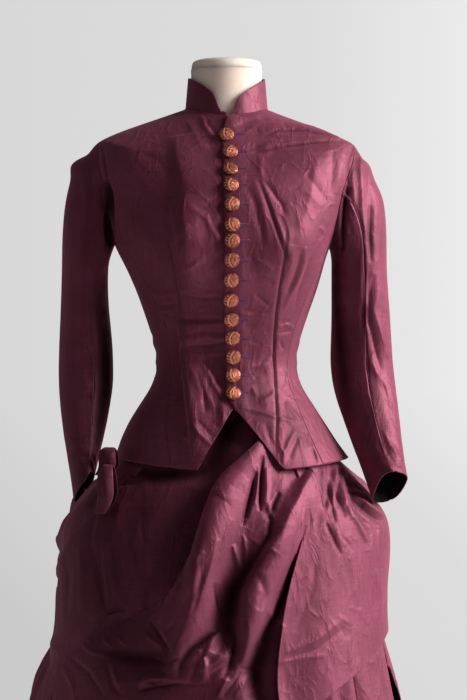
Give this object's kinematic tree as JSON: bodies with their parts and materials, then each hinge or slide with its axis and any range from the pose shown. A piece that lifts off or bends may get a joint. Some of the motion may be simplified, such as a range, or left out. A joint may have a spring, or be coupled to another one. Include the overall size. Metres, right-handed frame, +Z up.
{
  "type": "bustle dress on a dress form",
  "caption": "Fitted high-collared bodice with buttoned front over a draped bustle skirt with pleated flounce, worn by a limbless form on a pole and round base.",
  "frame": {"origin": "on the floor, at the middle of the underside of the stand's base, below the form's pole", "axes": "+Z up, -Y the way the front of the dress faces, +X the wearer's left"},
  "size_m": [0.6786, 0.7308, 1.4775],
  "materials": {
    "silk_taffeta": "crisp shot silk with a low sheen",
    "copper_button": "stamped and worn copper",
    "form_jersey": "matt stretched jersey",
    "painted_wood": "satin paint",
    "black_iron": "black enamel"
  },
  "bodies": {
    "root": {"apron": "silk_taffeta", "back_puff": "silk_taffeta", "big_panel": "silk_taffeta", "bodice_back_left": "silk_taffeta", "bodice_back_right": "silk_taffeta", "bodice_front_left": "silk_taffeta", "bodice_front_right": "silk_taffeta", "bodice_side_back_left": "silk_taffeta", "bodice_side_back_right": "silk_taffeta", "bodice_side_left": "silk_taffeta", "bodice_side_right": "silk_taffeta", "button_01": "copper_button", "button_02": "copper_button", "button_03": "copper_button", "button_04": "copper_button", "button_05": "copper_button", "button_06": "copper_button", "button_07": "copper_button", "button_08": "copper_button", "button_09": "copper_button", "button_10": "copper_button", "button_11": "copper_button", "button_12": "copper_button", "button_13": "copper_button", "button_14": "copper_button", "button_15": "copper_button", "collar_left": "silk_taffeta", "collar_right": "silk_taffeta", "flounce_back": "silk_taffeta", "flounce_front": "silk_taffeta", "flounce_left": "silk_taffeta", "flounce_right": "silk_taffeta", "form_neck_cap": "painted_wood", "form_torso": "form_jersey", "side_loop": "silk_taffeta", "side_panel": "silk_taffeta", "sleeve_under_left": "silk_taffeta", "sleeve_under_right": "silk_taffeta", "sleeve_upper_left": "silk_taffeta", "sleeve_upper_right": "silk_taffeta", "stand_base": "black_iron", "stand_pole": "black_iron", "tail": "silk_taffeta", "underskirt_back": "silk_taffeta", "underskirt_front": "silk_taffeta", "underskirt_left": "silk_taffeta", "underskirt_right": "silk_taffeta"}
  },
  "joints": []
}
